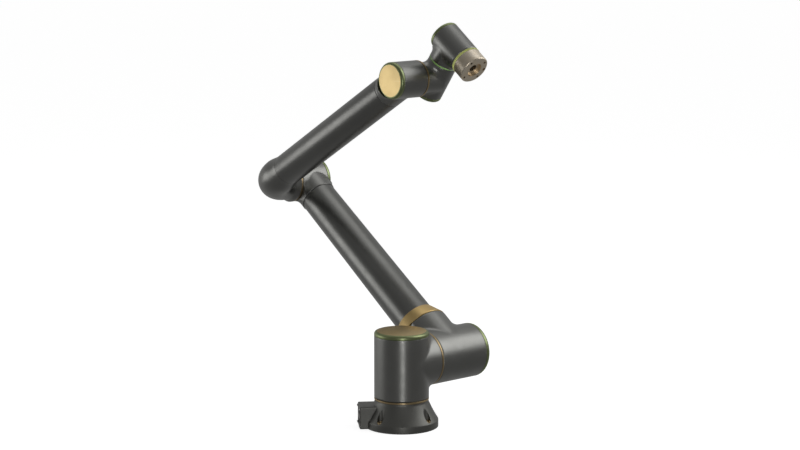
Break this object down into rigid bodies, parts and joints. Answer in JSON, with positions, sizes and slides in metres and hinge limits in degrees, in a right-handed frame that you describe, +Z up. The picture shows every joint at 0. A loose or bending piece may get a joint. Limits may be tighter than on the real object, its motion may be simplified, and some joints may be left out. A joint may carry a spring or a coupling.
{
  "type": "jointed robot arm",
  "caption": "Bench-top jointed robot arm: a flared bolt-down foot, an upright shoulder can, a tapered upper arm, a forearm and a three-axis wrist that ends in a round tool flange.",
  "frame": {"origin": "centre of the foot's underside, on the axis of the base joint and at the centre of the mounting bolt circle", "axes": "+Z up along the base joint; the connector box points to -X; the shoulder, elbow and first wrist axes are level and lie 35.4 degrees from +X towards +Y"},
  "size_m": [0.4606, 0.5631, 0.8122],
  "materials": {
    "housing_metal": "satin anodised, warm dark grey",
    "tube_metal": "satin anodised, warm dark grey",
    "gold_cap": "satin gold anodised",
    "gold_ring": "gold anodised",
    "gold_collar": "satin gold anodised",
    "status_ring": "frosted light ring, unlit",
    "tool_metal": "fine turned, bronze tint",
    "socket_plastic": "moulded black",
    "screw_steel": "blackened steel",
    "plate_metal": "plain milled",
    "bearing_steel": "ground steel",
    "gear_steel": "machined",
    "motor_windings": "laminations and copper windings",
    "shaft_steel": "turned",
    "hub_metal": "machined"
  },
  "bodies": {
    "base": {"base_foot": "housing_metal", "base_bottom_plate": "plate_metal", "connector_box": "housing_metal", "power_socket": "socket_plastic", "signal_socket": "socket_plastic", "connector_box_screws": "screw_steel", "base_seam_ring": "gold_ring", "base_output_hub": "hub_metal"},
    "shoulder": {"shoulder_housing": "housing_metal", "base_cap": "gold_cap", "base_bearing": "bearing_steel", "base_strain_gear": "gear_steel", "base_motor_stator": "motor_windings", "base_rotor_shaft": "shaft_steel", "shoulder_seam_ring": "gold_ring", "shoulder_output_hub": "hub_metal"},
    "upper_arm": {"upper_arm_base": "housing_metal", "upper_arm_collar": "gold_collar", "upper_arm_tube": "tube_metal", "elbow_housing": "housing_metal", "shoulder_cap": "gold_cap", "shoulder_bearing": "bearing_steel", "shoulder_strain_gear": "gear_steel", "shoulder_motor_stator": "motor_windings", "shoulder_rotor_shaft": "shaft_steel", "elbow_cap": "gold_cap", "elbow_bearing": "bearing_steel", "elbow_strain_gear": "gear_steel", "elbow_motor_stator": "motor_windings", "elbow_rotor_shaft": "shaft_steel"},
    "forearm": {"forearm_elbow": "housing_metal", "forearm_tube": "tube_metal", "forearm_wrist_housing": "housing_metal", "elbow_seam_ring": "gold_ring", "elbow_output_hub": "hub_metal", "wrist_1_cap": "gold_cap", "wrist_1_bearing": "bearing_steel", "wrist_1_strain_gear": "gear_steel", "wrist_1_motor_stator": "motor_windings", "wrist_1_rotor_shaft": "shaft_steel"},
    "wrist_1": {"wrist_1_housing": "housing_metal", "wrist_1_seam_ring": "gold_ring", "wrist_1_output_hub": "hub_metal", "wrist_2_cap": "gold_cap", "wrist_2_bearing": "bearing_steel", "wrist_2_strain_gear": "gear_steel", "wrist_2_motor_stator": "motor_windings", "wrist_2_rotor_shaft": "shaft_steel"},
    "wrist_2": {"wrist_2_housing": "housing_metal", "status_ring": "status_ring", "wrist_2_output_hub": "hub_metal", "wrist_3_cap": "gold_cap", "wrist_3_bearing": "bearing_steel", "wrist_3_strain_gear": "gear_steel", "wrist_3_motor_stator": "motor_windings", "wrist_3_rotor_shaft": "shaft_steel"},
    "tool": {"tool_flange": "tool_metal", "wrist_3_output_hub": "hub_metal"}
  },
  "joints": [
    {"name": "base_joint", "type": "hinge", "parent": "base", "child": "shoulder", "pos_m": [0, 0, 0.06], "axis": [0, 0, 1], "range_deg": [-175, 175]},
    {"name": "shoulder_joint", "type": "hinge", "parent": "shoulder", "child": "upper_arm", "pos_m": [0.05421, 0.03852, 0.13], "axis": [0.8151, 0.5793, 0], "range_deg": [-65, 175]},
    {"name": "elbow_joint", "type": "hinge", "parent": "upper_arm", "child": "forearm", "pos_m": [-0.1989, 0.40935, 0.44432], "axis": [-0.8151, -0.5793, 0], "range_deg": [-40, 269]},
    {"name": "wrist_1_joint", "type": "hinge", "parent": "forearm", "child": "wrist_1", "pos_m": [0.03272, 0.03854, 0.70037], "axis": [0.8151, 0.5793, 0], "range_deg": [-96, 143]},
    {"name": "wrist_2_joint", "type": "hinge", "parent": "wrist_1", "child": "wrist_2", "pos_m": [0.08941, 0.04854, 0.73435], "axis": [0.3405, -0.4791, 0.809], "range_deg": [-85, 265]},
    {"name": "wrist_3_joint", "type": "hinge", "parent": "wrist_2", "child": "tool", "pos_m": [0.12882, -0.00692, 0.73869], "axis": [0.4686, -0.6595, -0.5878], "range_deg": [-175, 175]}
  ]
}
